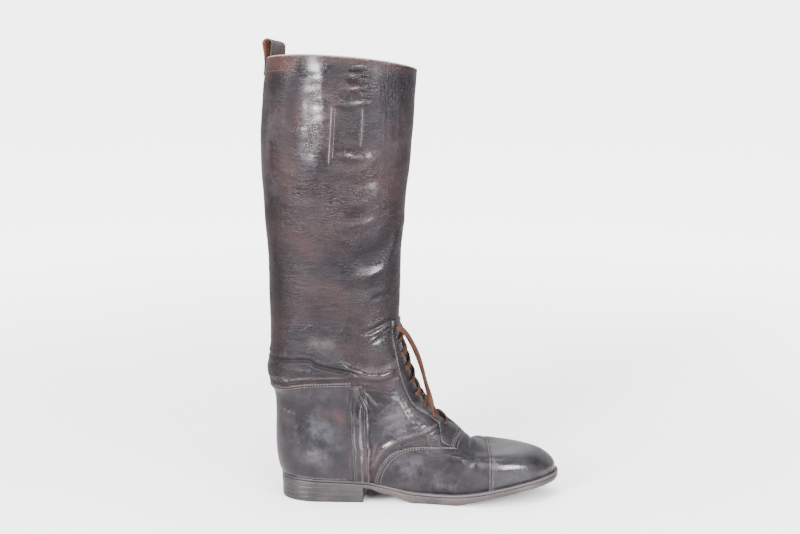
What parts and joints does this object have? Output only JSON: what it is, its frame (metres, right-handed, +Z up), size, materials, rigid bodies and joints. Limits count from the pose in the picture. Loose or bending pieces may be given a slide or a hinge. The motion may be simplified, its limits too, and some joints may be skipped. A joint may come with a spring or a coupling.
{
  "type": "officer boot",
  "caption": "Tall laced leather field boot for the right foot: toe cap, winged vamp, heel counter, side straps, instep lacing, pull loop, welted leather sole and stacked heel.",
  "frame": {"origin": "middle of the heel's floor face", "axes": "+X to the toe, +Y to the inner (medial) side, +Z up the shaft; the boot stands on z = 0"},
  "size_m": [0.3185, 0.1017, 0.495],
  "materials": {
    "leg_leather": "polished, creased",
    "foot_leather": "polished, creased",
    "cap_leather": "high polish",
    "welt_leather": "worn edge",
    "sole_leather": "worn edge",
    "lining": "matt",
    "lace": "dry leather lace"
  },
  "bodies": {
    "root": {"outsole": "sole_leather", "heel_top_piece": "sole_leather", "heel_lift_lower": "sole_leather", "heel_lift_upper": "sole_leather", "welt": "welt_leather", "insole": "lining", "upper": "leg_leather", "vamp": "foot_leather", "toe_cap": "cap_leather", "counter": "foot_leather", "side_strap_lateral": "foot_leather", "side_strap_medial": "foot_leather", "eyestay": "foot_leather", "tongue": "foot_leather", "pull_loop": "foot_leather", "lace_end": "lace", "lace_bar_2": "lace", "lace_bar_3": "lace", "lace_bar_4": "lace", "lace_bar_5": "lace", "lace_bar_6": "lace", "lace_bar_7": "lace", "lace_bar_8": "lace", "lace_bar_9": "lace"}
  },
  "joints": []
}
